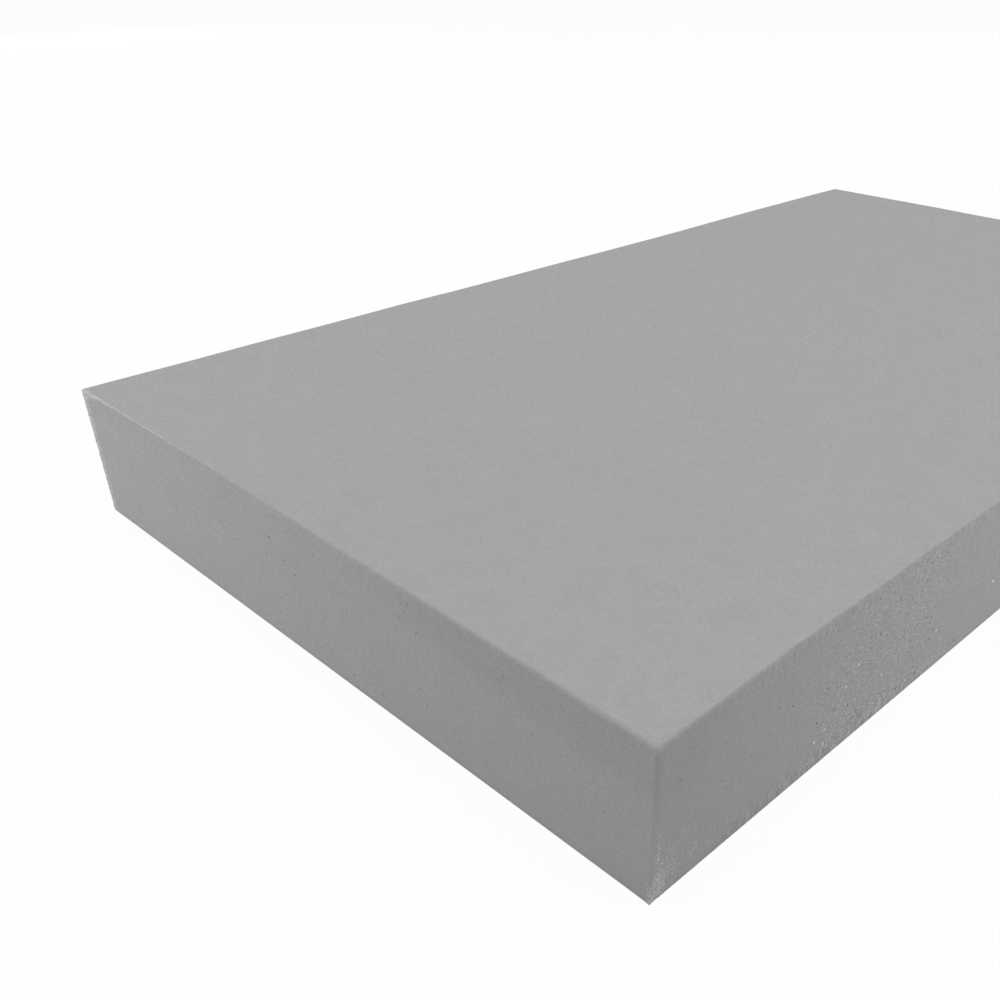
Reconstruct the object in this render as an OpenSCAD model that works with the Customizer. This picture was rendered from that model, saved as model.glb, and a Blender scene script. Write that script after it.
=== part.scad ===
/* [Sheet] */
// Length of the sheet, along X
sheet_length = 300; // [100:5:600]
// Width of the sheet, along Y
sheet_width = 170; // [60:5:400]
// Thickness of the sheet, along Z
sheet_thickness = 30; // [10:1:60]

/* [Edges] */
// Radius of the four upright corners, seen from above
corner_r = 1.5; // [1.5:0.5:20]
// Rounding where the top face rolls over into the sawn sides
top_edge_r = 1; // [0.3:0.1:1.4]
// Rounding of the crisper edge round the underside
under_edge_r = 0.4; // [0.1:0.1:1.4]

/* [Hidden] */
$fn = 96;
foam_grey = [0.65, 0.65, 0.65];
// The core is what lies inside the rim, and the rim is as wide as the corner radius
core_length = sheet_length - 2 * corner_r;
core_width = sheet_width - 2 * corner_r;
// How far a cutter runs past the faces that it trims
cut_over = 0.5;

// What a rounding of radius r takes off a square outer edge at the origin
module edge_trim(r) {
    difference() {
        translate([-r, -r]) square(r + cut_over);
        translate([-r, -r]) circle(r);
    }
}

// Section of the rim, from the core at x = 0 out to the sawn side
module rim_section() {
    difference() {
        square([corner_r, sheet_thickness]);
        translate([corner_r, sheet_thickness]) edge_trim(top_edge_r);
        translate([corner_r, 0]) mirror([0, 1]) edge_trim(under_edge_r);
    }
}

// Straight stretch of rim, centred, with its sawn side towards +Y
module side_rim(run) {
    rotate([90, 0, 90]) linear_extrude(run, center = true) rim_section();
}

// Quarter turn of rim round an upright corner, from +X to +Y
module corner_rim() {
    rotate_extrude(angle = 90) rim_section();
}

// The whole sheet, resting on its underside, with the origin below its middle
module foam_sheet() {
    color(foam_grey) union() {
        translate([-core_length / 2, -core_width / 2, 0]) cube([core_length, core_width, sheet_thickness]);
        for (turn = [0, 180]) {
            rotate(turn) {
                translate([0, core_width / 2, 0]) side_rim(core_length);
                translate([core_length / 2, 0, 0]) rotate(-90) side_rim(core_width);
                translate([core_length / 2, core_width / 2, 0]) corner_rim();
                translate([core_length / 2, -core_width / 2, 0]) rotate(-90) corner_rim();
            }
        }
    }
}

foam_sheet();
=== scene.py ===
"""A sheet of grey closed-cell foam: one slab with skinned faces, sawn sides and a softened front corner."""

import logging
import math
from dataclasses import dataclass, field
from enum import Enum
from typing import Callable

import bmesh
import bpy
import numpy as np
from mathutils import Matrix, Vector


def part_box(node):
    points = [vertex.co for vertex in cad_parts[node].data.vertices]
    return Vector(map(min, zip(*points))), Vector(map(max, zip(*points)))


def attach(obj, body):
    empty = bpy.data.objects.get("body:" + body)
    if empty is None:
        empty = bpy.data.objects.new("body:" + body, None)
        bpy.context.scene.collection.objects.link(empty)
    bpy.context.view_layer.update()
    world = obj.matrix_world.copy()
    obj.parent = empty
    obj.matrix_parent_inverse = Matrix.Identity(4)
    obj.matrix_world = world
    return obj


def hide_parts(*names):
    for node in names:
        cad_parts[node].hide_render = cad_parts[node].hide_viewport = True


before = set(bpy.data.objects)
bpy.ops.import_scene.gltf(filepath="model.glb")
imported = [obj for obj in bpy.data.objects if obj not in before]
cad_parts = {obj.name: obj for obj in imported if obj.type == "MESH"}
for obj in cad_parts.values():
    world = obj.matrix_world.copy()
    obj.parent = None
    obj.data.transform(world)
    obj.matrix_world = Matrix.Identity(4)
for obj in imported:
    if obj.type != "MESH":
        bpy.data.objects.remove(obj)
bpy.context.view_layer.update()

MM = 0.001
PICTURE_WIDTH = 1000
SENSOR_WIDTH = 36.0
Socket = bpy.types.NodeSocket
log = logging.getLogger("foam_sheet")


class Element(Enum):
    """What a selection in edit mode is made of."""

    VERTEX = "VERT"
    EDGE = "EDGE"
    FACE = "FACE"


class Axis(Enum):
    """The slab's three directions."""

    LENGTH = 0
    WIDTH = 1
    THICKNESS = 2


class Side(Enum):
    """The four sawn sides, each by the axis that it faces along and which way."""

    FRONT_SHORT = (0, -1)
    FRONT_LONG = (1, -1)
    BACK_SHORT = (0, 1)
    BACK_LONG = (1, 1)

    @property
    def axis(self) -> int:
        """The axis that the side faces along."""
        return self.value[0]

    @property
    def way(self) -> int:
        """Which way along its axis the side faces."""
        return self.value[1]

    @property
    def turn(self) -> int:
        """Which way the side runs along its other axis from its left end, as one faces it."""
        return self.way if self.axis == Axis.LENGTH.value else -self.way


class Way(Enum):
    """Which way shaping moves the surface."""

    OUTWARD = "NORMAL"
    UPWARD = "Z"


class Mask(Enum):
    """Names of the vertex weights and values that shaping and finishes share."""

    SIDES = "sides"
    FACES = "faces"
    RIM = "rim"
    # whitish frayed edges, and the painted glint of raised cell walls
    FRAY = "fray"
    SOIL = "soil"
    STREAK = "streak"
    # painted light: a glow below the skin line by the front corner
    LIFT = "lift"
    COARSE = "coarse"
    # painted shade in the pores' pits and along the dark lines by the upright edges
    PORE = "pore"

    @property
    def group(self) -> str:
        """The name of the vertex group that shaping reads, which has to differ from the vertex value's."""
        return f"{self.value}_weight"


def pick(piece: bpy.types.Object, element: Element, test: Callable) -> int:
    """Selects in edit mode only what passes a test.

    Args:
        piece: the object that is open in edit mode.
        element: what the test is asked about.
        test: called with each vertex, edge or face, and true where it is to be selected.

    Returns:
        How many were selected.
    """
    bpy.ops.mesh.select_mode(type=element.value)
    bpy.ops.mesh.select_all(action="DESELECT")
    mesh = bmesh.from_edit_mesh(piece.data)
    items = {Element.VERTEX: mesh.verts, Element.EDGE: mesh.edges, Element.FACE: mesh.faces}[element]
    found = [item for item in items if test(item)]
    for item in found:
        item.select_set(True)
    mesh.select_flush_mode()
    bmesh.update_edit_mesh(piece.data)
    return len(found)


def read_points(items: bpy.types.bpy_prop_collection, name: str) -> np.ndarray:
    """Reads one three-number property of all the items.

    Args:
        items: a mesh's vertices or polygons.
        name: the property, such as co or center.

    Returns:
        One row of three numbers for each item.
    """
    flat = np.empty(len(items) * 3)
    items.foreach_get(name, flat)
    return flat.reshape(-1, 3)


def smooth_step(value: np.ndarray, low: float, high: float) -> np.ndarray:
    """0 below low, 1 above high and a soft S between them."""
    share = np.clip((value - low) / (high - low), 0.0, 1.0)
    return share * share * (3.0 - 2.0 * share)


@dataclass(frozen=True)
class WornLine:
    """A stretch of edge that sawing or handling has left ragged."""

    start: tuple[float, float, float]
    end: tuple[float, float, float]
    reach: float
    start_strength: float
    end_strength: float

    def weights(self, points: np.ndarray) -> np.ndarray:
        """How worn each point is.

        Args:
            points: places, one row each.

        Returns:
            One weight per point, from 0 to the line's strength.
        """
        start = np.array(self.start)
        run = np.array(self.end) - start
        along = np.clip((points - start) @ run / max(run @ run, 1e-12), 0.0, 1.0)
        away = np.linalg.norm(points - start - along[:, None] * run, axis=1)
        strength = self.start_strength + (self.end_strength - self.start_strength) * along
        return strength * (1.0 - smooth_step(away, 0.3 * self.reach, self.reach))


@dataclass(frozen=True)
class SidePatch:
    """A leaning oval on a sawn side where the cells are torn open or scuffed instead of cut clean."""

    side: Side
    along: float
    half_run: float
    height: float
    half_height: float
    lean: float
    strength: float

    def weights(self, along: np.ndarray, height: np.ndarray) -> np.ndarray:
        """How strongly each point is marked.

        Args:
            along: distances from the side's left end, as one faces it.
            height: heights above the underside.

        Returns:
            One weight per point, from 0 to the patch's strength.
        """
        middle = self.along + self.lean * (height - self.height)
        away = np.hypot((along - middle) / self.half_run, (height - self.height) / self.half_height)
        return self.strength * (1.0 - smooth_step(away, 0.45, 1.0))


@dataclass(frozen=True)
class Lean:
    """A stretch of a sawn side whose top the saw has left leaning in, or out where the amount is below 0."""

    side: Side
    amount: float
    start: float
    full: float
    fading: float
    end: float

    def share(self, along: np.ndarray) -> np.ndarray:
        """How much of the lean each distance from the side's left end has."""
        return smooth_step(along, self.start, self.full) * (1.0 - smooth_step(along, self.fading, self.end))


def side_patches(side: Side, *rows: tuple[float, ...]) -> list[SidePatch]:
    """Makes the ovals of one side.

    Args:
        side: the side that they lie on.
        rows: for each oval its place along the side, half run, height and half height in millimetres,
            then its lean and its strength.

    Returns:
        One patch per row.
    """
    return [SidePatch(side, *(size * MM for size in row[:4]), *row[4:]) for row in rows]


class Cell(Enum):
    """Single cells of a sawn side: the mouth's radius, the pit's depth and the strength of the painted shade
    in a pore's pit, or the value of a raised wall's painted glint.
    """

    FAINT_PORE = (0.45 * MM, 0.07 * MM, 0.26)
    SOFT_PORE = (0.34 * MM, 0.12 * MM, 0.36)
    FINE_PORE = (0.14 * MM, 0.14 * MM, 1.0)
    PORE = (0.19 * MM, 0.2 * MM, 1.0)
    WIDE_PORE = (0.25 * MM, 0.3 * MM, 1.0)
    FINE_WALL = (0.13 * MM, -0.05 * MM, 2.0)
    TORN_WALL = (0.28 * MM, -0.08 * MM, 2.0)
    WIDE_WALL = (0.42 * MM, -0.1 * MM, 2.0)

    @property
    def mask(self) -> Mask:
        """The vertex value that shows the cell: a pore's pit gets painted shade, and a raised wall a painted
        glint that is whiter than any frayed edge.
        """
        return Mask.PORE if self.value[1] > 0 else Mask.FRAY


@dataclass(frozen=True)
class Landmark:
    """One cell whose place on a side is known."""

    side: Side
    along: float
    height: float
    cell: Cell


class Shader:
    """A material's node tree, with short calls for the nodes that the finishes share."""

    def __init__(self, name: str) -> None:
        """Starts an empty material.

        Args:
            name: what the material is called.
        """
        self.material = bpy.data.materials.new(name)
        self.material.use_nodes = True
        self.tree = self.material.node_tree
        self.tree.nodes.clear()
        self.output = self.node("ShaderNodeOutputMaterial")

    def node(self, kind: str, feeds: dict | None = None, **settings: object) -> bpy.types.Node:
        """Adds a node, sets its options and feeds its sockets.

        Args:
            kind: the node's type name.
            feeds: outputs or constants by the socket's name or number.
            settings: option names and values.

        Returns:
            The new node.
        """
        added = self.tree.nodes.new(kind)
        for name, value in settings.items():
            setattr(added, name, value)
        for socket, value in (feeds or {}).items():
            self.feed(added.inputs[socket], value)
        return added

    def feed(self, socket: Socket, value: object) -> None:
        """Links an output to a socket, or sets a constant on it.

        Args:
            socket: the input to fill.
            value: an output or a constant.
        """
        if isinstance(value, Socket):
            self.tree.links.new(value, socket)
        else:
            socket.default_value = value

    def place(self) -> Socket:
        """The surface point in the piece's own frame, in millimetres."""
        feeds = {0: self.node("ShaderNodeTexCoord").outputs["Object"], "Scale": 1.0 / MM}
        return self.node("ShaderNodeVectorMath", feeds, operation="SCALE").outputs[0]

    def across(self, place: Socket) -> Socket:
        """How far a place lies from the middle on the way from the front corner to the far one."""
        parts = self.node("ShaderNodeSeparateXYZ", {0: place})
        return self.math("ADD", parts.outputs["X"], parts.outputs["Y"])

    def stretched(self, place: Socket, factors: tuple[float, float, float]) -> Socket:
        """Scales a place by its own factor in each direction."""
        return self.node("ShaderNodeVectorMath", {0: place, 1: factors}, operation="MULTIPLY").outputs[0]

    def math(self, operation: str, *values: object) -> Socket:
        """Does one sum on values or outputs."""
        return self.node("ShaderNodeMath", dict(enumerate(values)), operation=operation).outputs[0]

    def ranged(self, value: Socket, low: float, high: float, first: float, last: float) -> Socket:
        """Turns the range from low to high into the range from first to last, softly and clamped."""
        feeds = dict(enumerate((value, low, high, first, last)))
        return self.node("ShaderNodeMapRange", feeds, interpolation_type="SMOOTHSTEP", clamp=True).outputs[0]

    def clouds(self, place: Socket, size: float, detail: float = 2.0) -> Socket:
        """Soft noise about 0.5, with lumps of a size in millimetres."""
        feeds = {"Vector": place, "Scale": 1.0 / size, "Detail": detail, "Roughness": 0.55}
        return self.node("ShaderNodeTexNoise", feeds, noise_dimensions="3D").outputs["Fac"]

    def cells(self, place: Socket, size: float, feature: str = "F1") -> bpy.types.Node:
        """A pattern of cells of a size in millimetres."""
        feeds = {"Vector": place, "Scale": 1.0 / size}
        return self.node("ShaderNodeTexVoronoi", feeds, voronoi_dimensions="3D", feature=feature)

    def upright_clouds(self, place: Socket, pitch: float, run: float) -> Socket:
        """Soft noise about 0.5 that is drawn out upwards, by its pitch and its run in millimetres."""
        return self.clouds(self.stretched(place, (1.0 / pitch, 1.0 / pitch, 1.0 / run)), 1.0)

    def vary(self, tint: object, pattern: Socket, amount: object) -> Socket:
        """Adds a pattern about 0.5, by an amount, to a tint."""
        return self.math("MULTIPLY_ADD", self.math("SUBTRACT", pattern, 0.5), amount, tint)

    def value(self, mask: Mask) -> Socket:
        """One of the piece's vertex values."""
        return self.node("ShaderNodeAttribute", attribute_name=mask.value).outputs["Fac"]

    def bump(self, height: Socket, distance: float, strength: float) -> Socket:
        """A surface normal tipped by a height pattern."""
        feeds = {"Strength": strength, "Distance": distance, "Height": height}
        return self.node("ShaderNodeBump", feeds).outputs[0]

    def principled(self, grey: Socket, roughness: float, normal: Socket, specular: float) -> None:
        """Closes the material with a matt surface.

        Args:
            grey: the surface's grey.
            roughness: the surface's roughness.
            normal: the tipped normal.
            specular: the level of the highlight.
        """
        feeds = {"Base Color": grey, "Roughness": roughness, "Specular IOR Level": specular, "Normal": normal}
        surface = self.node("ShaderNodeBsdfPrincipled", feeds)
        self.feed(self.output.inputs["Surface"], surface.outputs[0])


@dataclass(frozen=True)
class SkinFinish:
    """The closed skin of the two faces: grain that grows to the far corner, a mottle and paler veins."""

    name: str = "foam_skin"
    grey: float = 0.40
    grain_size: float = 0.46
    grain: float = 0.25
    far_grain: float = 0.62
    grain_run: tuple[float, float] = (-240.0, 50.0)
    lump_size: float = 0.95
    lumps: float = 0.1
    mottle_size: float = 9.0
    mottle: float = 0.04
    vein_size: float = 11.0
    vein_width: float = 0.16
    vein: float = 0.02
    roughness: float = 0.82
    specular: float = 0.2
    bump_depth: float = 0.04 * MM
    bump_strength: float = 0.4

    def material(self) -> bpy.types.Material:
        """Builds the skin's material.

        Returns:
            The finished material.
        """
        shader = Shader(self.name)
        place = shader.place()
        grain = shader.clouds(place, self.grain_size)
        amount = shader.ranged(shader.across(place), *self.grain_run, self.grain, self.far_grain)
        tint = shader.vary(1.0, grain, amount)
        tint = shader.vary(tint, shader.clouds(place, self.lump_size, 1.0), self.lumps)
        tint = shader.vary(tint, shader.clouds(place, self.mottle_size, 3.0), self.mottle)
        tint = shader.math("ADD", tint, self.veins(shader, place))
        normal = shader.bump(grain, self.bump_depth, self.bump_strength)
        shader.principled(shader.math("MULTIPLY", tint, self.grey), self.roughness, normal, self.specular)
        return shader.material

    def veins(self, shader: Shader, place: Socket) -> Socket:
        """The paler veins, which wander between wide cells.

        Args:
            shader: the material that they belong to.
            place: the surface point in millimetres.

        Returns:
            What the veins add to the tint.
        """
        feeds = {"Vector": place, "Scale": 1.0 / self.mottle_size}
        wander = shader.node("ShaderNodeTexNoise", feeds, noise_dimensions="3D")
        feeds = {0: wander.outputs["Color"], 1: (self.vein_size,) * 3, 2: place}
        shifted = shader.node("ShaderNodeVectorMath", feeds, operation="MULTIPLY_ADD")
        border = shader.cells(shifted.outputs[0], self.vein_size, "DISTANCE_TO_EDGE").outputs["Distance"]
        return shader.ranged(border, 0.0, self.vein_width, self.vein, 0.0)


@dataclass(frozen=True)
class SawnFinish:
    """The sawn sides: cut cells, saw marks, pores darkened with painted shade, torn walls made bright with a
    painted glint, and whitish frayed edges.
    """

    name: str = "foam_sawn"
    grey: float = 0.40
    pale: float = 0.56
    painted_glint_pale: float = 0.9
    thread_size: float = 0.36
    thread_stretch: tuple[float, float, float] = (1.0, 1.0, 0.75)
    threads: float = 2.8
    clump_size: float = 3.0
    clumps: float = 0.4
    torn_range: tuple[float, float] = (0.42, 0.75)
    fray_start: float = 0.25
    glint_range: tuple[float, float] = (1.2, 1.8)
    grain_size: float = 0.45
    grain: float = 0.36
    far_grain: float = 0.53
    grain_run: tuple[float, float] = (-260.0, -40.0)
    lump_size: float = 1.1
    lumps: float = 0.08
    blotch_size: float = 14.0
    blotches: float = 0.03
    cell_size: float = 0.165
    speckle_gain: float = 2.0
    speckle_shift: float = -0.95
    speckle_power: float = 3.0
    painted_pore_shade: float = 0.45
    band_shade: float = 0.95
    # Painted light: how much the band below the skin line by the front corner is brightened, as if light from
    # the lit top shone through the edge.
    painted_rim_glow: float = 0.13
    coarse_grain: float = -0.26
    coarse_cells: float = 0.56
    coarse_relief: float = 0.6
    relief: float = 0.2
    mark_pitch: float = 0.7
    mark_run: float = 5.0
    mark: float = 0.05
    streak_pitch: float = 0.55
    streak_run: float = 1.8
    streak: float = 0.7
    roughness: float = 0.9
    specular: float = 0.15
    bump_depth: float = 0.07 * MM
    bump_strength: float = 0.5

    def material(self) -> bpy.types.Material:
        """Builds the sawn sides' material.

        Returns:
            The finished material.
        """
        shader = Shader(self.name)
        place = shader.place()
        fray = shader.value(Mask.FRAY)
        cells = shader.cells(place, self.cell_size)
        marks = shader.upright_clouds(place, self.mark_pitch, self.mark_run)
        grey = shader.math("MULTIPLY", self.tint(shader, place, cells, marks), self.grey)
        # Frayed edges turn whitish; a raised wall's still paler grey is a painted glint.
        pale = shader.ranged(fray, *self.glint_range, self.pale, self.painted_glint_pale)
        lift = shader.math("SUBTRACT", pale, grey)
        grey = shader.math("MULTIPLY_ADD", lift, self.torn(shader, place, fray), grey)
        depth = shader.math("MULTIPLY_ADD", shader.value(Mask.COARSE), self.coarse_relief, self.relief)
        relief = shader.math("MULTIPLY_ADD", cells.outputs["Distance"], depth, marks)
        normal = shader.bump(relief, self.bump_depth, self.bump_strength)
        shader.principled(grey, self.roughness, normal, self.specular)
        return shader.material

    def tint(self, shader: Shader, place: Socket, cells: bpy.types.Node, marks: Socket) -> Socket:
        """The shade of the cut cells, with grain, saw marks, speckles, streaks, a painted glow below the rim,
        painted shade in the pores' pits and along the dark lines, and faintly darker bands.

        Args:
            shader: the material that it belongs to.
            place: the surface point in millimetres.
            cells: the pattern of the cut cells.
            marks: the upright saw marks.

        Returns:
            A factor on the foam's grey.
        """
        coarse = shader.value(Mask.COARSE)
        amount = shader.ranged(shader.across(place), *self.grain_run, self.grain, self.far_grain)
        amount = shader.math("MULTIPLY_ADD", coarse, self.coarse_grain, amount)
        tint = shader.vary(1.0, shader.clouds(place, self.grain_size), amount)
        tint = shader.vary(tint, shader.clouds(place, self.lump_size, 1.0), self.lumps)
        tint = shader.vary(tint, shader.clouds(place, self.blotch_size), self.blotches)
        tint = shader.vary(tint, marks, self.mark)
        speckle = shader.node("ShaderNodeSeparateColor", {0: cells.outputs["Color"]}).outputs[0]
        speckle = shader.math("MULTIPLY_ADD", speckle, self.speckle_gain, self.speckle_shift)
        speckle = shader.math("POWER", speckle, self.speckle_power)
        speckles = shader.math("MULTIPLY", speckle, self.coarse_cells)
        tint = shader.math("MULTIPLY_ADD", speckles, coarse, tint)
        # Painted light: brightens the band below the skin line by the front corner, as if light from the lit
        # top shone through the edge.
        tint = shader.math("MULTIPLY_ADD", shader.value(Mask.LIFT), self.painted_rim_glow, tint)
        dashes = shader.upright_clouds(place, self.streak_pitch, self.streak_run)
        tint = shader.vary(tint, dashes, shader.math("MULTIPLY", shader.value(Mask.STREAK), self.streak))
        # Painted shade darkens the pores' pits and the dark lines by the upright edges; the bands below the
        # rim are made faintly darker.
        for mask, shade in ((Mask.PORE, self.painted_pore_shade), (Mask.SOIL, self.band_shade)):
            tint = shader.math("MULTIPLY", tint, shader.ranged(shader.value(mask), 0.0, 1.0, 1.0, shade))
        return tint

    def torn(self, shader: Shader, place: Socket, fray: Socket) -> Socket:
        """The net of whitish threads where the foam is frayed.

        Args:
            shader: the material that it belongs to.
            place: the surface point in millimetres.
            fray: how frayed the surface is.

        Returns:
            1 on a thread and 0 between them.
        """
        threads = shader.clouds(shader.stretched(place, self.thread_stretch), self.thread_size)
        ragged = shader.vary(fray, threads, self.threads)
        ragged = shader.vary(ragged, shader.clouds(place, self.clump_size, 1.0), self.clumps)
        torn = shader.ranged(ragged, *self.torn_range, 0.0, 1.0)
        return shader.math("MULTIPLY", torn, shader.ranged(fray, 0.0, self.fray_start, 0.0, 1.0))


@dataclass
class FoamSheet:
    """The slab: its mesh, its worn places, its pores and its two finishes."""

    node: str = "foam_sheet"
    name: str = "foam_slab"
    slot: str = "foam"
    body: str = "root"
    skin: SkinFinish = SkinFinish()
    sawn: SawnFinish = SawnFinish()
    face_pitch: float = 3.4 * MM
    side_cuts: int = 3
    corner_r: float = 2.6 * MM
    corner_steps: int = 5
    round_profile: float = 0.5
    top_edge_r: float = 1.3 * MM
    rim_steps: int = 5
    rim_profile: float = 0.25
    rim_slant: float = math.radians(27.0)
    under_edge_r: float = 0.12 * MM
    under_steps: int = 2
    border: float = 0.4 * MM
    crisp_drop: float = 0.25 * MM
    long_inset_share: float = 0.45
    on_side_depth: float = 0.1 * MM
    cut_wave: float = 0.6 * MM
    soft_run_short: float = 130.0 * MM
    soft_run_long: float = 90.0 * MM
    corner_fade: float = 1.4 * MM
    corner_waist: float = 0.4
    fray_refined: float = 0.12
    fray_free: float = 0.05
    rim_smooth: float = 0.06
    skin_slope: float = 0.9
    cells_per_side: dict[Side, int] = field(
        default_factory=lambda: {
            Side.FRONT_SHORT: 34,
            Side.FRONT_LONG: 200,
            Side.BACK_SHORT: 110,
            Side.BACK_LONG: 270,
        }
    )
    pore_spacing: float = 1.5 * MM
    pore_floor: float = 1.5 * MM
    pore_ceiling: float = 1.8 * MM
    pore_end: float = 3.0 * MM
    smooth_odds: float = 0.06
    smooth_limit: float = 0.3
    mouth_profile: float = 0.09
    mouth_jitter: float = 0.12
    lip_share: float = 0.2
    pit_share: float = 0.25
    pit_steps: tuple[float, float] = (0.7, 0.3)
    corner_radii: dict[tuple[int, int], tuple[float, float, float]] = field(
        default_factory=lambda: {
            (-1, -1): (0.03 * MM, 0.03 * MM, 1.9 * MM),
            (-1, 1): (0.15 * MM, 0.08 * MM, 0.08 * MM),
            (1, 1): (0.3 * MM, 0.3 * MM, 0.5 * MM),
            (1, -1): (0.3 * MM, 0.4 * MM, 0.7 * MM),
        }
    )
    seed: int = 7
    piece: bpy.types.Object = field(default=None, init=False)

    def __post_init__(self) -> None:
        """Takes the slab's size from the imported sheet."""
        self.low, self.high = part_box(self.node)
        self.size = self.high - self.low
        self.middle = (self.low + self.high) / 2
        self.chance = np.random.default_rng(self.seed)

    def build(self) -> bpy.types.Object:
        """Models the slab step by step.

        Returns:
            The finished piece.
        """
        self.add_block()
        self.cut_grid()
        self.round_edges()
        self.shape_rim()
        self.tighten_corners()
        self.refine_sides()
        self.refine_worn_places()
        self.set_weights()
        self.lean_sides()
        self.roughen()
        self.open_pores()
        self.dress()
        self.declare()
        return self.piece

    def add_block(self) -> None:
        """Adds a block of the slab's size at its place."""
        bpy.ops.object.select_all(action="DESELECT")
        bpy.ops.mesh.primitive_cube_add(size=1.0, location=self.middle, scale=self.size)
        self.piece = bpy.context.active_object
        self.piece.name = self.name
        self.piece.data.name = self.name
        bpy.ops.object.transform_apply(location=True, rotation=True, scale=True)

    def cut_grid(self) -> None:
        """Cuts the block into cells of about the face pitch, one direction after the other."""
        bpy.ops.object.mode_set(mode="EDIT")
        for axis in Axis:
            across = axis.value
            pick(self.piece, Element.EDGE, lambda edge: self.runs_along(edge, across))
            cells = round(self.size[across] / self.face_pitch)
            bpy.ops.mesh.subdivide(number_cuts=cells - 1)
        bpy.ops.object.mode_set(mode="OBJECT")

    @staticmethod
    def runs_along(edge: bmesh.types.BMEdge, axis: int) -> bool:
        """Whether an edge lies along one of the slab's directions."""
        run = edge.verts[1].co - edge.verts[0].co
        return abs(run[axis]) > 0.97 * run.length

    def outline_depth(self, point: Vector) -> float:
        """How far inside the slab's outline a point lies, seen from above.

        Args:
            point: a place in the slab's frame.

        Returns:
            The distance from the outline.
        """
        out_x = abs(point.x - self.middle.x) - self.size.x / 2 + self.corner_r
        out_y = abs(point.y - self.middle.y) - self.size.y / 2 + self.corner_r
        past = math.hypot(max(out_x, 0.0), max(out_y, 0.0))
        return self.corner_r - past - min(max(out_x, out_y), 0.0)

    @staticmethod
    def round_off(radius: float, steps: int, profile: float) -> None:
        """Rounds the edges that are selected in edit mode."""
        bpy.ops.mesh.bevel(offset=radius, segments=steps, profile=profile, affect="EDGES")

    def round_edges(self) -> None:
        """Rounds the four upright corners, then the rims of the top and the underside."""
        tiny = 0.01 * MM
        half_x = self.size.x / 2 - tiny
        half_y = self.size.y / 2 - tiny

        def upright(edge: bmesh.types.BMEdge) -> bool:
            """Whether an edge is part of one of the four upright corners."""
            offsets = [v.co - self.middle for v in edge.verts]
            return all(abs(offset.x) > half_x and abs(offset.y) > half_y for offset in offsets)

        def rim(height: float) -> Callable:
            """A test for the edges round the slab at one height."""
            return lambda edge: all(
                abs(v.co.z - height) < tiny and self.outline_depth(v.co) < tiny for v in edge.verts
            )

        def skin_line(edge: bmesh.types.BMEdge) -> bool:
            """Whether an edge is part of the crease where the top's skin ends."""
            return all(
                abs(v.co.z - self.high.z) < tiny and abs(self.outline_depth(v.co) - self.top_edge_r) < tiny
                for v in edge.verts
            )

        bpy.ops.object.mode_set(mode="EDIT")
        pick(self.piece, Element.EDGE, upright)
        self.round_off(self.corner_r, self.corner_steps, self.round_profile)
        pick(self.piece, Element.EDGE, rim(self.high.z))
        self.round_off(self.top_edge_r, self.rim_steps, self.rim_profile)
        pick(self.piece, Element.EDGE, skin_line)
        bpy.ops.mesh.mark_sharp()
        pick(self.piece, Element.FACE, lambda face: abs(face.normal.z) < tiny)
        collar = (self.middle.x, self.middle.y, self.high.z - self.top_edge_r - self.border)
        bpy.ops.mesh.bisect(plane_co=collar, plane_no=(0.0, 0.0, 1.0))
        pick(self.piece, Element.EDGE, rim(self.low.z))
        self.round_off(self.under_edge_r, self.under_steps, self.round_profile)
        for facing in (1.0, -1.0):
            pick(self.piece, Element.FACE, lambda face: face.normal.z * facing > 0.999)
            bpy.ops.mesh.inset(thickness=self.border, depth=0.0)
        bpy.ops.object.mode_set(mode="OBJECT")

    def refine_sides(self) -> None:
        """Cuts the sides and rims more finely than the two faces."""
        longest = 0.4 * self.face_pitch
        within = self.top_edge_r + 1.5 * self.border

        def along_rim(edge: bmesh.types.BMEdge) -> bool:
            """Whether an edge follows a side or a rim and is long enough to cut.

            Args:
                edge: the edge asked about.

            Returns:
                True where it is to be cut.
            """
            if edge.calc_length() < longest:
                return False
            for axis, other in ((0, 1), (1, 0)):
                inner = self.size[other] / 2 - within
                beside = all(abs(v.co[other] - self.middle[other]) > inner for v in edge.verts)
                if beside and self.runs_along(edge, axis):
                    return True
            return False

        def upright(edge: bmesh.types.BMEdge) -> bool:
            """Whether an edge runs up a side and is long enough to cut."""
            return self.runs_along(edge, Axis.THICKNESS.value) and edge.calc_length() > longest

        bpy.ops.object.mode_set(mode="EDIT")
        for test in (along_rim, upright):
            pick(self.piece, Element.EDGE, test)
            bpy.ops.mesh.subdivide(number_cuts=self.side_cuts)
        bpy.ops.object.mode_set(mode="OBJECT")

    @property
    def top(self) -> float:
        """The height of the skin above the underside, in millimetres."""
        return self.size.z / MM

    def side_depth(self, side: Side, points: np.ndarray) -> np.ndarray:
        """How far behind a side's plane each point lies."""
        axis = side.axis
        return self.high[axis] - points[:, axis] if side.way > 0 else points[:, axis] - self.low[axis]

    def side_along(self, side: Side, points: np.ndarray) -> np.ndarray:
        """How far each point is from a side's left end, as one faces that side."""
        axis = 1 - side.axis
        return points[:, axis] - self.low[axis] if side.turn > 0 else self.high[axis] - points[:, axis]

    def side_point(self, side: Side, along: float, height: float, depth: float = 0.0) -> Vector:
        """Finds a point beside one of the sides.

        Args:
            side: the side.
            along: the distance from its left end, as one faces it.
            height: the height above the underside.
            depth: how far behind the side's plane the point lies.

        Returns:
            The point in the slab's frame.
        """
        axis, other = side.axis, 1 - side.axis
        point = Vector((0.0, 0.0, self.low.z + height))
        point[axis] = (self.high if side.way > 0 else self.low)[axis] - side.way * depth
        point[other] = (self.low if side.turn > 0 else self.high)[other] + side.turn * along
        return point

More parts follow.
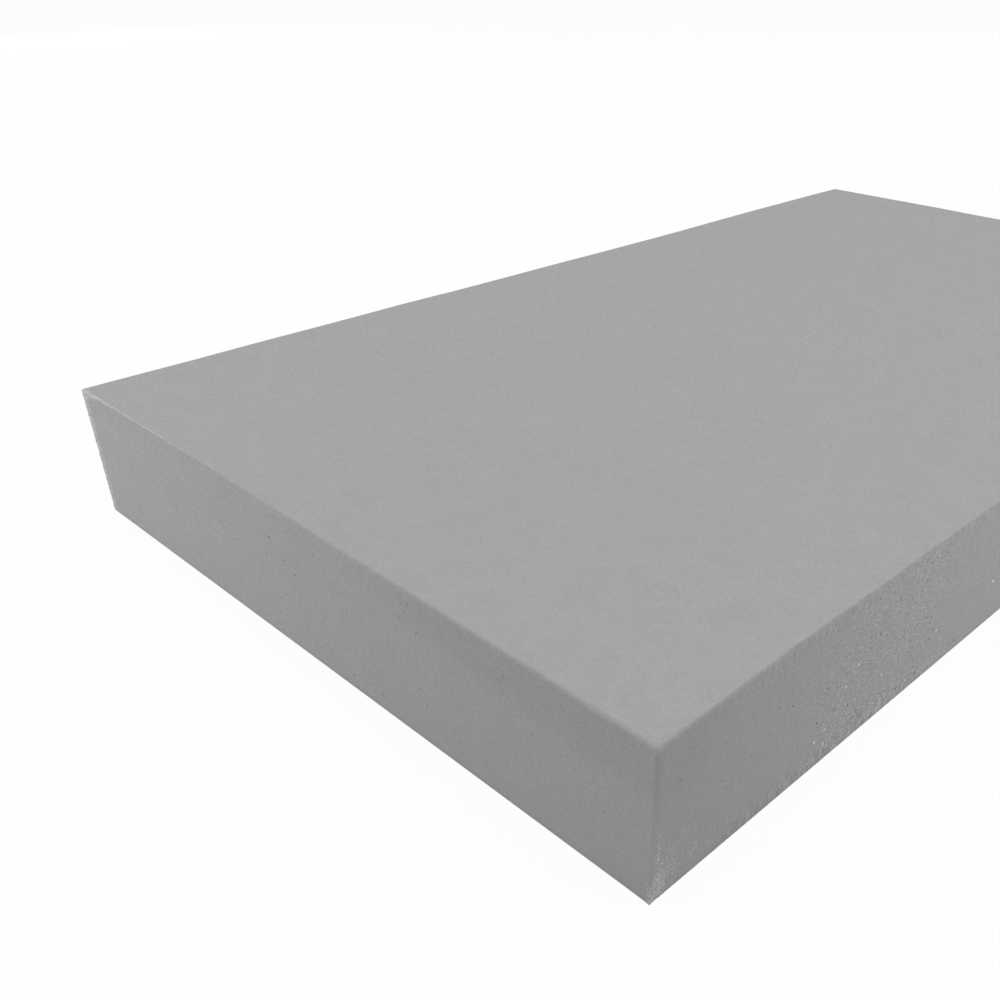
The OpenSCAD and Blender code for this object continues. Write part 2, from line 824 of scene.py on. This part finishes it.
    def worn_lines(self, *rows: tuple) -> list[WornLine]:
        """Makes worn lines.

        Args:
            rows: for each line its side, its two ends (along, height and depth) and its reach in
                millimetres, then its strength at both ends.

        Returns:
            One line per row.
        """
        lines = []
        for side, start, end, reach, start_strength, end_strength in rows:
            ends = [tuple(self.side_point(side, *(size * MM for size in place))) for place in (start, end)]
            lines.append(WornLine(*ends, reach * MM, start_strength, end_strength))
        return lines

    def frayed_lines(self) -> list[WornLine]:
        """The edges that are torn and whitish."""
        skin = (self.top - 0.05, 0.05)
        return self.worn_lines(
            (Side.FRONT_SHORT, (1.0, 0.5), (1.0, self.top - 1.0), 1.5, 0.58, 0.7),
            (Side.FRONT_SHORT, (0.0, 0.5), (0.0, self.top), 0.4, 0.85, 1.0),
            (Side.FRONT_SHORT, (0.0, self.top), (6.0, *skin), 1.1, 1.15, 0.95),
            (Side.FRONT_SHORT, (6.0, *skin), (15.0, *skin), 0.62, 1.15, 1.0),
            (Side.FRONT_SHORT, (15.0, *skin), (28.0, *skin), 0.32, 0.95, 0.85),
            (Side.FRONT_SHORT, (28.0, *skin), (50.0, *skin), 0.25, 0.85, 0.5),
            (Side.BACK_SHORT, (0.0, 0.0), (0.0, self.top), 1.4, 0.6, 0.4),
            (Side.BACK_LONG, (0.0, 0.0), (0.0, self.top), 1.5, 0.4, 0.6),
        )

    @staticmethod
    def frayed_patches() -> list[SidePatch]:
        """The whitish scuffs by the front corner and below the left one."""
        left = side_patches(Side.FRONT_SHORT, (1.0, 6.0, 29.8, 2.0, 0.0, 0.75))
        return left + side_patches(
            Side.FRONT_LONG,
            (1.2, 2.7, 1.5, 6.5, 0.14, 0.7),
            (3.0, 4.4, 4.5, 6.0, 0.0, 0.33),
            (1.3, 1.0, 9.0, 7.5, 0.0, 0.4),
            (9.5, 1.6, 3.0, 4.0, 0.1, 0.32),
        )

    def dark_lines(self) -> list[WornLine]:
        """The dark lines inside the burr of the left upright edge and beside the front one; the line beside
        the front edge is painted shade of the corner.
        """
        return self.worn_lines(
            (Side.FRONT_SHORT, (0.45, 1.0), (0.45, self.top - 3.0), 0.4, 0.5, 0.5),
            (Side.FRONT_LONG, (0.5, 15.0), (0.5, self.top - 2.0), 0.8, 0.16, 0.24),
        )

    def streaked_lines(self) -> list[WornLine]:
        """The stretches close below the skin and above the underside where the saw has left short dashes."""
        return self.worn_lines(
            (Side.FRONT_LONG, (10, self.top - 1.6), (55, self.top - 1.6), 1.8, 0.5, 1.0),
            (Side.FRONT_LONG, (55, self.top - 1.5), (290, self.top - 1.5), 1.6, 1.0, 0.5),
            (Side.FRONT_LONG, (14, 0), (60, 0), 5.0, 0.8, 2.3),
            (Side.FRONT_LONG, (60, 0), (90, 0), 4.0, 2.3, 0.5),
            (Side.BACK_LONG, (10, self.top), (290, self.top), 3.0, 0.8, 0.6),
            (Side.BACK_LONG, (120, 0), (190, 0), 5.0, 0.7, 0.7),
            (Side.BACK_SHORT, (10, self.top), (160, self.top), 2.4, 0.7, 0.5),
            (Side.BACK_SHORT, (20, 0), (70, 0), 4.0, 0.6, 0.6),
        )

    @staticmethod
    def streaked_patches() -> list[SidePatch]:
        """The dashes by the front corner, away from the edges."""
        return side_patches(Side.FRONT_LONG, (7, 9, 8, 7, 0.0, 0.45))

    @staticmethod
    def coarse_patches() -> list[SidePatch]:
        """The stretches of the sides that are granular."""
        return [
            *side_patches(
                Side.FRONT_LONG,
                (60, 30, 14, 26, 0.5, 0.8),
                (60, 40, 1.5, 6, 0.0, 1.3),
                (13, 18, 1.5, 5, 0.0, 0.5),
                (68, 62, 15, 60, 0.0, 0.34),
                (205, 42, 12, 24, -0.4, 0.7),
            ),
            *side_patches(Side.FRONT_SHORT, (40, 75, 15, 60, 0.0, 0.35), (104, 26, 15, 22, 0.3, 0.22)),
            *side_patches(Side.BACK_LONG, (95, 48, 16, 26, 0.6, 0.8), (230, 30, 12, 20, -0.5, 0.5)),
            *side_patches(Side.BACK_SHORT, (110, 34, 14, 24, 0.4, 0.6)),
        ]

    @staticmethod
    def darker_patches() -> list[SidePatch]:
        """The faintly darker bands below the rim by the front corner."""
        return [
            *side_patches(Side.FRONT_SHORT, (165, 75, 27, 9, 0.0, 1.0)),
            *side_patches(Side.FRONT_LONG, (2, 22, 26, 10, 0.0, 0.6)),
            *side_patches(Side.BACK_SHORT, (150, 50, 25, 9, 0.0, 0.7)),
        ]

    def marked(self, points: np.ndarray, lines: list[WornLine], patches: list[SidePatch]) -> np.ndarray:
        """How strongly each point is marked by the strongest of some lines and patches.

        Args:
            points: places, one row each.
            lines: the worn edges.
            patches: the ovals on the sides.

        Returns:
            One weight per point.
        """
        weights = [line.weights(points) for line in lines]
        for patch in patches:
            on_side = self.side_depth(patch.side, points) < self.on_side_depth
            along = self.side_along(patch.side, points)
            weights.append(on_side * patch.weights(along, points[:, 2] - self.low.z))
        return np.max(weights, axis=0)

    def fray(self, points: np.ndarray) -> np.ndarray:
        """How frayed each point is."""
        return self.marked(points, self.frayed_lines(), self.frayed_patches())

    def coarseness(self, points: np.ndarray) -> np.ndarray:
        """How granular each point of the sides is."""
        return self.marked(points, [], self.coarse_patches())

    def refine_worn_places(self) -> None:
        """Halves the cells where the slab is frayed."""
        centres = read_points(self.piece.data.polygons, "center")
        depth = np.array([self.outline_depth(Vector(c)) for c in centres])
        wanted = (depth < self.top_edge_r) & (self.fray(centres) > self.fray_refined)
        bpy.ops.object.mode_set(mode="EDIT")
        count = pick(self.piece, Element.FACE, lambda face: wanted[face.index])
        bpy.ops.mesh.subdivide(number_cuts=1)
        bpy.ops.object.mode_set(mode="OBJECT")
        log.info("refined %d cells", count)

    def softness(self, points: np.ndarray) -> np.ndarray:
        """How worn the rim is beside each point.

        Args:
            points: places, one row each.

        Returns:
            1 by the front corner and 0 where the rim is crisp.
        """
        past_front_y = points[:, 1] - self.low.y
        past_front_x = points[:, 0] - self.low.x
        by_short = 1.0 - np.clip(past_front_y / self.soft_run_short, 0.0, 1.0)
        by_long = 1.0 - np.clip(past_front_x / self.soft_run_long, 0.0, 1.0)
        return np.where(past_front_x < past_front_y, by_short, by_long)

    def rim_drop(self, points: np.ndarray) -> np.ndarray:
        """How far the rim reaches down beside each point."""
        return self.crisp_drop + (self.top_edge_r - self.crisp_drop) * self.softness(points)

    def rim_section(self, share: np.ndarray) -> tuple[np.ndarray, np.ndarray]:
        """The section of the rim, which leaves the skin at a slant and turns upright on its way down.

        Args:
            share: places on the way from the skin, at 0, to the side, at 1.

        Returns:
            How far inside the side and how far below the skin each place is, for a rim that is 1 high.
        """
        steps = np.linspace(0.0, 1.0, 41)
        slant = self.rim_slant * (1.0 - steps)
        down = np.concatenate([[0.0], np.cumsum(np.cos((slant[1:] + slant[:-1]) / 2))])
        out = np.concatenate([[0.0], np.cumsum(np.sin((slant[1:] + slant[:-1]) / 2))])
        return np.interp(share, steps, (out[-1] - out) / down[-1]), np.interp(share, steps, down / down[-1])

    def outward_ways(self, points: np.ndarray) -> np.ndarray:
        """The level direction out of the slab at each point.

        Args:
            points: places, one row each.

        Returns:
            One direction of two numbers per point.
        """
        offset = points[:, :2] - np.array(self.middle)[:2]
        past = np.abs(offset) - (np.array(self.size)[:2] / 2 - self.corner_r)
        in_corner = (past > 0.0).all(axis=1)
        straight = np.eye(2)[np.argmax(past, axis=1)]
        way = np.where(in_corner[:, None], np.maximum(past, 0.0), straight)
        return np.sign(offset) * way / np.linalg.norm(way, axis=1)[:, None]

    def move_to(self, points: np.ndarray) -> None:
        """Moves all the vertices to new places."""
        self.piece.data.vertices.foreach_set("co", points.ravel())
        self.piece.data.update()

    def shape_rim(self) -> None:
        """Gives each stretch of the top edge its own section, and draws the collar below it up to it."""
        points = read_points(self.piece.data.vertices, "co")
        tiny = 0.02 * MM
        inward = np.array([self.outline_depth(Vector(p)) for p in points])
        below = self.high.z - points[:, 2]
        on_rim = (inward < self.top_edge_r + tiny) & (below < self.top_edge_r + tiny)
        on_collar = (inward < tiny) & (np.abs(below - self.top_edge_r - self.border) < tiny)
        drop = self.rim_drop(points)
        inside, lower = self.rim_section(np.clip(below / self.top_edge_r, 0.0, 1.0))
        along = self.side_along(Side.FRONT_LONG, points)
        past_corner = smooth_step(along, 0.5 * self.corner_r, 2.0 * self.corner_r)
        on_long = past_corner * (self.side_depth(Side.FRONT_LONG, points) < 2.0 * self.corner_r)
        inside = inside * (1.0 - (1.0 - self.long_inset_share) * on_long)
        shift = np.where(on_rim, inward - inside * drop, 0.0)
        points[:, :2] += self.outward_ways(points) * shift[:, None]
        points[:, 2] = np.where(on_rim, self.high.z - lower * drop, points[:, 2])
        points[:, 2] = np.where(on_collar, self.high.z - drop - self.border, points[:, 2])
        self.move_to(points)

    def leans(self) -> list[Lean]:
        """The stretches that the saw has cut out of square.

        Returns:
            The leans, whose rows hold the amount and the four ends of the two fades in millimetres.
        """
        run = self.size.x / MM
        rows = (
            (Side.FRONT_SHORT, 0.38, 0, 5, 45, 90),
            (Side.FRONT_LONG, -0.15, -run, 0, 8, 25),
            (Side.FRONT_LONG, 0.16, 8, 25, run, 2 * run),
            (Side.BACK_LONG, -1.3, -run, 0, 40, 110),
            (Side.BACK_LONG, -0.3, 170, 210, 0.9 * run, 1.1 * run),
        )
        return [Lean(side, *(size * MM for size in sizes)) for side, *sizes in rows]

    def lean_sides(self) -> None:
        """Leans the tops of the sides where the saw has cut out of square."""
        points = read_points(self.piece.data.vertices, "co")
        raised = (points[:, 2] - self.low.z) / self.size.z
        for lean in self.leans():
            near = 1.0 - smooth_step(self.side_depth(lean.side, points), 0.6 * MM, 2.0 * MM)
            share = lean.share(self.side_along(lean.side, points))
            points[:, lean.side.axis] -= lean.side.way * lean.amount * near * share * raised
        self.move_to(points)

    def tighten_corners(self) -> None:
        """Gives each upright corner its own roundness, from the underside up to the skin."""
        points = read_points(self.piece.data.vertices, "co")
        height = points[:, 2] - self.low.z
        levels = (0.0, self.corner_waist * self.size.z, self.size.z - self.corner_fade, self.size.z)
        for (way_x, way_y), (low_r, middle_r, top_r) in self.corner_radii.items():
            tip = np.array([self.middle.x + way_x * self.size.x / 2, self.middle.y + way_y * self.size.y / 2])
            offset = points[:, :2] - tip
            near = (np.abs(offset) <= self.corner_r + 0.02 * MM).all(axis=1)
            ratio = np.interp(height, levels, (low_r, middle_r, middle_r, top_r)) / self.corner_r
            points[:, :2] = np.where(near[:, None], tip + offset * ratio[:, None], points[:, :2])
        self.move_to(points)

    def rim_bumps(self, points: np.ndarray) -> np.ndarray:
        """How bumpy the top edge is beside each point.

        Args:
            points: places, one row each.

        Returns:
            1 on the notched front long side and nearly 0 elsewhere.
        """
        past_corner = smooth_step(self.side_along(Side.FRONT_LONG, points), 15 * MM, 40 * MM)
        beside = 1.0 - smooth_step(self.side_depth(Side.FRONT_LONG, points), 3 * MM, 15 * MM)
        return self.rim_smooth + (1.0 - self.rim_smooth) * past_corner * beside

    def set_weights(self) -> None:
        """Writes the vertex groups for shaping and the vertex values for the finishes."""
        mesh = self.piece.data
        points = read_points(mesh.vertices, "co")
        inward = np.min([self.side_depth(side, points) for side in Side], axis=0)
        below = self.high.z - points[:, 2]
        above = points[:, 2] - self.low.z
        on_side = inward < self.on_side_depth
        on_skin = below < self.on_side_depth
        on_rim = inward < self.top_edge_r
        near_skin = 1.0 - smooth_step(below, 0.4 * MM, 2.2 * MM)
        weights = {
            Mask.SIDES: on_side * smooth_step(above, 0.5 * MM, 4.0 * MM),
            Mask.FACES: on_skin * smooth_step(inward, 2.0 * MM, 15.0 * MM),
            Mask.RIM: on_rim * near_skin * self.rim_bumps(points),
            Mask.FRAY: self.fray(points),
            Mask.COARSE: self.coarseness(points) * on_rim * smooth_step(above, 0.2 * MM, 2.0 * MM),
            # Faintly darker bands below the rim.
            Mask.SOIL: self.marked(points, [], self.darker_patches()),
            Mask.STREAK: self.marked(points, self.streaked_lines(), self.streaked_patches()),
            # Painted shade along the dark lines by the upright edges; the pores' pits get theirs when they
            # are opened.
            Mask.PORE: self.marked(points, self.dark_lines(), []),
            # Painted light: a glow below the skin line by the front corner, strongest at the skin, as if
            # light from the lit top shone through the edge.
            Mask.LIFT: self.softness(points) * (1.0 - np.clip(below / self.rim_drop(points), 0.0, 1.0)) ** 2,
        }
        for mask, values in weights.items():
            group = self.piece.vertex_groups.new(name=mask.group)
            for index in np.flatnonzero(values > 0.001):
                group.add([int(index)], float(values[index]), "REPLACE")
        for mask in (Mask.FRAY, Mask.COARSE, Mask.SOIL, Mask.STREAK, Mask.LIFT, Mask.PORE):
            layer = mesh.attributes.new(mask.value, "FLOAT", "POINT")
            layer.data.foreach_set("value", weights[mask])

    def push(self, mask: Mask, lump: float, strength: float, depth: int, way: Way = Way.OUTWARD) -> None:
        """Displaces the vertices of a group by a cloud pattern, and applies it.

        Args:
            mask: the vertex group.
            lump: the size of the pattern's lumps.
            strength: the distance between the lowest and highest points.
            depth: how many finer octaves the pattern has.
            way: which way the vertices move.
        """
        pattern = bpy.data.textures.new(f"{mask.value}_pattern", "CLOUDS")
        pattern.noise_scale = lump
        pattern.noise_depth = depth
        shaping = self.piece.modifiers.new(f"{mask.value}_shape", "DISPLACE")
        shaping.texture = pattern
        shaping.texture_coords = "LOCAL"
        shaping.vertex_group = mask.group
        shaping.strength = strength
        shaping.mid_level = 0.5
        shaping.direction = way.value
        bpy.ops.object.modifier_apply(modifier=shaping.name)

    def roughen(self) -> None:
        """Adds the slow waves of the saw cut, the ragged rim, the torn cells and the frayed edges."""
        self.push(Mask.SIDES, 30 * MM, 0.22 * MM, 1)
        self.push(Mask.FACES, 45 * MM, 0.25 * MM, 1)
        self.push(Mask.RIM, 1.5 * MM, 0.7 * MM, 2, Way.UPWARD)
        self.push(Mask.RIM, 4.0 * MM, 0.4 * MM, 1, Way.UPWARD)
        self.push(Mask.COARSE, 0.5 * MM, 0.012 * MM, 2)
        self.push(Mask.FRAY, 0.8 * MM, 0.35 * MM, 2)

    @staticmethod
    def landmarks() -> list[Landmark]:
        """The cells that stand out on the two front sides.

        Returns:
            The cells, whose rows hold places along and up a side in millimetres.
        """
        faint_pores = ((90, 25), (116, 25), (120, 8), (140, 25), (157, 11), (161, 12))
        rows = (
            (Side.FRONT_SHORT, Cell.SOFT_PORE, ((11, 26), (15, 18), (17, 16), (36, 14), (55, 18), (60, 16))),
            (Side.FRONT_SHORT, Cell.WIDE_PORE, ((98, 3),)),
            (Side.FRONT_SHORT, Cell.FAINT_PORE, faint_pores),
            (Side.FRONT_SHORT, Cell.TORN_WALL, ((32, 12),)),
            (Side.FRONT_SHORT, Cell.FINE_WALL, ((43, 11), (49, 14))),
            (Side.FRONT_LONG, Cell.SOFT_PORE, ((15, 14), (22, 21), (32, 18))),
            (Side.FRONT_LONG, Cell.WIDE_PORE, ((40, 10), (42, 16), (45, 10), (54, 20), (55, 14), (66, 14))),
            (Side.FRONT_LONG, Cell.FINE_WALL, ((74, 27),)),
            (Side.FRONT_LONG, Cell.TORN_WALL, ((40, 6), (43, 4), (48, 13), (51, 16), (60, 9), (79, 9))),
            (Side.FRONT_LONG, Cell.WIDE_WALL, ((43, 7), (101, 10))),
        )
        return [
            Landmark(side, along * MM, height * MM, cell)
            for side, cell, places in rows
            for along, height in places
        ]

    def has_plain_cells(self) -> np.ndarray:
        """Finds the vertices that have exactly four cells of four corners round them.

        Returns:
            True for each such vertex.
        """
        mesh = self.piece.data
        around = np.zeros(len(mesh.vertices), dtype=int)
        odd = np.zeros(len(mesh.vertices), dtype=bool)
        for polygon in mesh.polygons:
            corners = list(polygon.vertices)
            around[corners] += 1
            if len(corners) != 4:
                odd[corners] = True
        return (around == 4) & ~odd

    def choose_cells(self) -> dict[int, tuple[Cell, Vector]]:
        """Chooses the vertices that become single cells: the known places first, then chance.

        Returns:
            For each chosen vertex its kind of cell and the place that it moves to.
        """
        points = read_points(self.piece.data.vertices, "co")
        coarse = np.empty(len(points))
        self.piece.data.attributes[Mask.COARSE.value].data.foreach_get("value", coarse)
        plain = self.has_plain_cells()
        inner = plain & (self.fray(points) < self.fray_free)
        inner &= points[:, 2] > self.low.z + self.pore_floor
        inner &= points[:, 2] < self.high.z - self.pore_ceiling
        chosen: dict[int, tuple[Cell, Vector]] = {}
        taken: list[np.ndarray] = []

        def is_free(point: np.ndarray) -> bool:
            """Whether a point keeps its distance from all the cells chosen so far."""
            return not taken or np.min(np.linalg.norm(np.array(taken) - point, axis=1)) > self.pore_spacing

        for mark in self.landmarks():
            goal = self.side_point(mark.side, mark.along, mark.height)
            away = np.linalg.norm(points - np.array(goal), axis=1)
            index = int(np.argmin(np.where(plain, away, np.inf)))
            if index not in chosen and is_free(points[index]):
                goal[mark.side.axis] = points[index][mark.side.axis]
                chosen[index] = (mark.cell, goal)
                taken.append(points[index])
        kinds = (Cell.FINE_PORE, Cell.PORE, Cell.WIDE_PORE, Cell.FINE_WALL)
        shares = (0.55, 0.27, 0.06, 0.12)
        for side, count in self.cells_per_side.items():
            along = self.side_along(side, points)
            run = self.size[1 - side.axis]
            fits = inner & (self.side_depth(side, points) < self.cut_wave)
            fits &= (along > self.pore_end) & (along < run - self.pore_end)
            places = np.flatnonzero(fits)
            odds = self.smooth_odds + coarse[places]
            for index in self.chance.choice(places, size=count, replace=False, p=odds / odds.sum()):
                kind = kinds[self.chance.choice(len(kinds), p=shares)]
                if coarse[index] < self.smooth_limit:
                    kind = Cell.FAINT_PORE if kind is Cell.FINE_PORE else Cell.FINE_PORE
                if is_free(points[index]):
                    chosen[int(index)] = (kind, Vector(points[index]))
                    taken.append(points[index])
        return chosen

    def open_pores(self) -> None:
        """Opens pores and raises torn cell walls on the sides, one kind after the other."""
        mesh = self.piece.data
        chosen = self.choose_cells()
        kinds = list(Cell)
        for cell in kinds:
            mesh.attributes.new(cell.name, "INT", "POINT")
        for index, (cell, goal) in chosen.items():
            mesh.vertices[index].co = goal
            mesh.attributes[cell.name].data[index].value = 1
        bpy.ops.object.mode_set(mode="EDIT")
        for number, cell in enumerate(kinds, start=1):
            mouth, depth, amount = cell.value
            layer = bmesh.from_edit_mesh(mesh).verts.layers.int[cell.name]
            pick(self.piece, Element.VERTEX, lambda vertex: vertex[layer] == 1)
            bpy.ops.mesh.bevel(offset=mouth, segments=2, profile=self.mouth_profile, affect="VERTICES")
            bpy.ops.mesh.inset(thickness=self.lip_share * mouth, depth=0.0, use_even_offset=False)
            bpy.ops.transform.vertex_random(offset=self.mouth_jitter * mouth, seed=self.seed + number)
            # A pore's value darkens its pit with painted shade; a raised wall's value gives it a painted
            # glint.
            self.set_selected(cell.mask, amount)
            pit = self.pit_share * mouth
            for step in self.pit_steps:
                bpy.ops.mesh.inset(thickness=pit, depth=-step * depth, use_even_offset=False)
            self.set_selected(cell.mask, amount)
        bpy.ops.object.mode_set(mode="OBJECT")
        for cell in kinds:
            mesh.attributes.remove(mesh.attributes[cell.name])
        log.info("%s: %d single cells", self.name, len(chosen))

    def set_selected(self, mask: Mask, amount: float) -> None:
        """Sets a vertex value on what is selected in edit mode.

        Args:
            mask: the vertex value.
            amount: the number to set.
        """
        mesh = bmesh.from_edit_mesh(self.piece.data)
        layer = mesh.verts.layers.float[mask.value]
        for vertex in mesh.verts:
            if vertex.select:
                vertex[layer] = amount
        bmesh.update_edit_mesh(self.piece.data)

    def dress(self) -> None:
        """Gives the faces their skin and the sides and rims their sawn finish."""
        mesh = self.piece.data
        mesh.materials.append(self.skin.material())
        mesh.materials.append(self.sawn.material())
        normals = read_points(mesh.polygons, "normal")
        centres = read_points(mesh.polygons, "center")
        depth = np.array([self.outline_depth(Vector(c)) for c in centres])
        sawn = (np.abs(normals[:, 2]) < self.skin_slope) | (depth < self.on_side_depth)
        mesh.polygons.foreach_set("material_index", sawn.astype(np.int32))
        bpy.ops.object.shade_smooth()

    def declare(self) -> None:
        """Attaches the slab to its body and hides the imported sheet that it stands for."""
        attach(self.piece, self.body)
        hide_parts(self.node)


@dataclass(frozen=True)
class Softbox:
    """A rectangular studio lamp."""

    name: str
    place: tuple[float, float, float]
    aim: tuple[float, float, float]
    width: float
    height: float
    power: float

    def build(self) -> bpy.types.Object:
        """Adds the lamp, turned towards its aim.

        Returns:
            The lamp's object.
        """
        bpy.ops.object.light_add(type="AREA", location=self.place)
        lamp = bpy.context.active_object
        lamp.name = self.name
        lamp.data.shape = "RECTANGLE"
        lamp.data.size = self.width
        lamp.data.size_y = self.height
        lamp.data.energy = self.power
        towards = Vector(self.aim) - Vector(self.place)
        lamp.rotation_euler = towards.to_track_quat("-Z", "Y").to_euler()
        lamp.visible_camera = False
        return lamp


@dataclass(frozen=True)
class Viewpoint:
    """The camera, by where it stands, how it is turned and how the picture is framed."""

    eye: tuple[float, float, float] = (-228.43 * MM, -150.025 * MM, 118.185 * MM)
    heading: float = 43.358
    pitch: float = -33.242
    roll: float = 0.762
    focal_pixels: float = 1043.83
    centre_pixel: tuple[float, float] = (607.64, 604.3)

    def build(self) -> bpy.types.Object:
        """Adds the camera and makes it the scene's own.

        Returns:
            The camera's object.
        """
        heading, pitch, roll = (math.radians(angle) for angle in (self.heading, self.pitch, self.roll))
        flat = math.cos(pitch)
        ahead = Vector((flat * math.cos(heading), flat * math.sin(heading), math.sin(pitch)))
        level = Vector((math.sin(heading), -math.cos(heading), 0.0))
        upright = level.cross(ahead)
        right = level * math.cos(roll) + upright * math.sin(roll)
        up = right.cross(ahead)
        bpy.ops.object.camera_add()
        camera = bpy.context.active_object
        camera.name = "viewpoint"
        turned = Matrix((right, up, -ahead)).transposed().to_4x4()
        camera.matrix_world = Matrix.Translation(self.eye) @ turned
        camera.data.sensor_fit = "HORIZONTAL"
        camera.data.sensor_width = SENSOR_WIDTH
        camera.data.lens = self.focal_pixels / PICTURE_WIDTH * SENSOR_WIDTH
        camera.data.shift_x = 0.5 - self.centre_pixel[0] / PICTURE_WIDTH
        camera.data.shift_y = self.centre_pixel[1] / PICTURE_WIDTH - 0.5
        camera.data.clip_start = 0.01
        bpy.context.scene.camera = camera
        return camera


@dataclass
class Studio:
    """The floor, the lamps, the surroundings and the camera."""

    floor_size: float = 8.0
    floor_bounce: float = 0.3
    floor_white: float = 0.95
    floor_glow: float = 0.95
    fill: float = 0.555
    viewpoint: Viewpoint = Viewpoint()
    lamps: tuple[Softbox, ...] = (
        Softbox("overhead", (0.0, 0.0, 1.2), (0.0, 0.0, 0.0), 0.8, 0.8, 4.68),
        Softbox("left", (-0.45, 0.15, 0.06), (-0.15, 0.0, 0.015), 0.3, 0.1, 0.41),
        Softbox("left_end", (-0.28, 0.2, 0.03), (-0.15, 0.05, 0.015), 0.2, 0.05, 0.035),
        Softbox("right", (0.05, -0.35, 0.08), (-0.05, -0.085, 0.015), 0.25, 0.12, 0.214),
        Softbox("right_end", (0.05, -0.25, 0.04), (0.0, -0.085, 0.015), 0.2, 0.06, 0.06),
        Softbox("back_long", (0.1, 1.3, 0.08), (0.0, 0.085, 0.015), 0.8, 0.12, 1.6),
        Softbox("back_short", (1.3, 0.1, 0.08), (0.15, 0.0, 0.015), 0.8, 0.12, 1.4),
    )

    def build(self) -> None:
        """Sets up the studio round the sheet."""
        bpy.context.scene.view_settings.view_transform = "Standard"
        self.viewpoint.build()
        for lamp in self.lamps:
            lamp.build()
        self.lay_floor()
        self.set_surroundings()

    @staticmethod
    def seen_directly(shader: Shader) -> Socket:
        """Tells what is seen from what only lights other things.

        Args:
            shader: the material that asks.

        Returns:
            1 for rays from the camera, from gloss or through glass, and 0 for the light's other paths.
        """
        path = shader.node("ShaderNodeLightPath")
        seen = shader.math("MAXIMUM", path.outputs["Is Camera Ray"], path.outputs["Is Glossy Ray"])
        return shader.math("MAXIMUM", seen, path.outputs["Is Transmission Ray"])

    def lay_floor(self) -> None:
        """Lays a white floor that keeps a soft shadow of the sheet."""
        bpy.ops.mesh.primitive_plane_add(size=self.floor_size, location=(0.0, 0.0, 0.0))
        floor = bpy.context.active_object
        floor.name = "floor"
        shader = Shader("floor_white")
        seen = self.seen_directly(shader)
        white = shader.ranged(seen, 0.0, 1.0, self.floor_bounce, self.floor_white)
        matt = shader.node("ShaderNodeBsdfDiffuse", {"Color": white})
        glow = shader.node("ShaderNodeEmission")
        share = shader.math("MULTIPLY", seen, self.floor_glow)
        blend = shader.node("ShaderNodeMixShader", {0: share, 1: matt.outputs[0], 2: glow.outputs[0]})
        shader.feed(shader.output.inputs["Surface"], blend.outputs[0])
        floor.data.materials.append(shader.material)

    def set_surroundings(self) -> None:
        """Sets a dim even fill, with plain white where the surroundings are seen."""
        world = bpy.data.worlds.new("surroundings")
        world.use_nodes = True
        nodes = world.node_tree.nodes
        links = world.node_tree.links
        back = nodes["Background"]
        path = nodes.new("ShaderNodeLightPath")
        seen = nodes.new("ShaderNodeMath")
        seen.operation = "MAXIMUM"
        links.new(path.outputs["Is Camera Ray"], seen.inputs[0])
        links.new(path.outputs["Is Glossy Ray"], seen.inputs[1])
        strength = nodes.new("ShaderNodeMapRange")
        links.new(seen.outputs[0], strength.inputs["Value"])
        strength.inputs["To Min"].default_value = self.fill
        strength.inputs["To Max"].default_value = 1.0
        back.inputs["Color"].default_value = (1.0, 1.0, 1.0, 1.0)
        links.new(strength.outputs["Result"], back.inputs["Strength"])
        bpy.context.scene.world = world


def main() -> None:
    """Builds the sheet and the studio, and reports each piece."""
    logging.basicConfig(level=logging.INFO, format="%(message)s")
    piece = FoamSheet().build()
    mesh = piece.data
    triangles = sum(len(polygon.vertices) - 2 for polygon in mesh.polygons)
    log.info("%s: %d vertices, %d triangles", piece.name, len(mesh.vertices), triangles)
    Studio().build()


if __name__ == "__main__":
    main()
